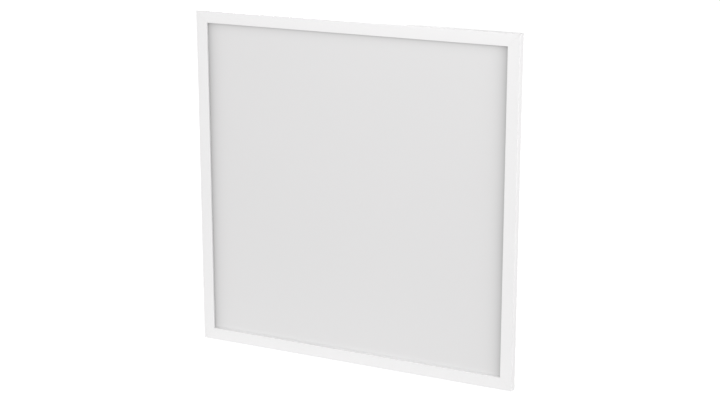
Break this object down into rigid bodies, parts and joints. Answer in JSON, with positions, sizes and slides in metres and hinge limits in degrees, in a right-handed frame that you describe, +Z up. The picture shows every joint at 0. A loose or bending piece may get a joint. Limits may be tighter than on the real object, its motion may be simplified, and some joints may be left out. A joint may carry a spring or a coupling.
{
  "type": "led panel light",
  "caption": "Square recessed light panel: white mitred aluminium frame, satin opal diffuser, sloped steel back tray, suspension brackets and a driver with hinged terminal covers.",
  "frame": {"origin": "centre of the plane of the frame's front face", "axes": "+Z up with the panel stood on edge, as it is shown; the light leaves along -Y and the back faces +Y; +X is to the right for someone who faces the light"},
  "size_m": [0.595, 0.0608, 0.595],
  "materials": {
    "frame_paint": "satin white powder coat on extruded aluminium",
    "tray_paint": "satin white coat on pressed steel sheet",
    "opal": "fine satin opal acrylic",
    "white_film": "matt white",
    "board_white": "white solder mask",
    "clear_lens": "clear polished acrylic",
    "zinc": "bright zinc plate",
    "rubber": "matt black",
    "lead_sheath": "satin white flexible plastic",
    "case_plastic": "fine spark-eroded texture",
    "terminal_plastic": "satin grey",
    "button_plastic": "satin orange",
    "board_green": "green solder mask",
    "ferrite": "dull dark grey",
    "can_sleeve": "shrunk sleeve"
  },
  "bodies": {
    "panel": {"frame_top": "frame_paint", "frame_bottom": "frame_paint", "frame_left": "frame_paint", "frame_right": "frame_paint", "corner_key_bottom_left": "zinc", "corner_key_bottom_right": "zinc", "corner_key_top_left": "zinc", "corner_key_top_right": "zinc", "diffuser_sheet": "opal", "back_tray": "tray_paint", "reflector_film": "white_film", "led_board_1": "board_white", "led_board_2": "board_white", "led_board_3": "board_white", "led_board_4": "board_white", "led_board_5": "board_white", "led_board_6": "board_white", "lens_strip_1": "clear_lens", "lens_strip_2": "clear_lens", "lens_strip_3": "clear_lens", "lens_strip_4": "clear_lens", "lens_strip_5": "clear_lens", "lens_strip_6": "clear_lens", "strip_loom": "lead_sheath", "tray_screw_01": "zinc", "tray_screw_02": "zinc", "tray_screw_03": "zinc", "tray_screw_04": "zinc", "tray_screw_05": "zinc", "tray_screw_06": "zinc", "tray_screw_07": "zinc", "tray_screw_08": "zinc", "tray_screw_09": "zinc", "tray_screw_10": "zinc", "tray_screw_11": "zinc", "tray_screw_12": "zinc", "suspension_bracket_top_left": "zinc", "suspension_bracket_top_right": "zinc", "suspension_bracket_bottom_left": "zinc", "suspension_bracket_bottom_right": "zinc", "tray_grommet": "rubber", "dc_lead": "lead_sheath", "driver_base": "case_plastic", "driver_lid": "case_plastic", "mains_terminal": "terminal_plastic", "output_terminal": "terminal_plastic", "mains_cable_clamp": "case_plastic", "clamp_screw_1": "zinc", "clamp_screw_2": "zinc", "driver_screw_1": "zinc", "driver_screw_2": "zinc", "driver_board": "board_green", "driver_transformer": "ferrite", "driver_capacitor": "can_sleeve"},
    "mains_flap": {"mains_flap": "case_plastic"},
    "output_flap": {"output_flap": "case_plastic"},
    "mains_button_line": {"mains_button_line": "button_plastic"},
    "mains_button_neutral": {"mains_button_neutral": "button_plastic"},
    "output_button_plus": {"output_button_plus": "button_plastic"},
    "output_button_minus": {"output_button_minus": "button_plastic"}
  },
  "joints": [
    {"name": "mains_flap_hinge", "type": "hinge", "parent": "panel", "child": "mains_flap", "pos_m": [-0.0525, 0.0586, 0.15], "axis": [0, 0, -1], "range_deg": [0, 110]},
    {"name": "output_flap_hinge", "type": "hinge", "parent": "panel", "child": "output_flap", "pos_m": [0.0525, 0.0586, 0.15], "axis": [0, 0, 1], "range_deg": [0, 110]},
    {"name": "mains_button_line_press", "type": "slide", "parent": "panel", "child": "mains_button_line", "axis": [0, -1, 0], "range_m": [0, 0.0015], "stiffness_N_per_m": 1500, "springref_m": -0.0005},
    {"name": "mains_button_neutral_press", "type": "slide", "parent": "panel", "child": "mains_button_neutral", "axis": [0, -1, 0], "range_m": [0, 0.0015], "stiffness_N_per_m": 1500, "springref_m": -0.0005},
    {"name": "output_button_plus_press", "type": "slide", "parent": "panel", "child": "output_button_plus", "axis": [0, -1, 0], "range_m": [0, 0.0015], "stiffness_N_per_m": 1500, "springref_m": -0.0005},
    {"name": "output_button_minus_press", "type": "slide", "parent": "panel", "child": "output_button_minus", "axis": [0, -1, 0], "range_m": [0, 0.0015], "stiffness_N_per_m": 1500, "springref_m": -0.0005}
  ]
}
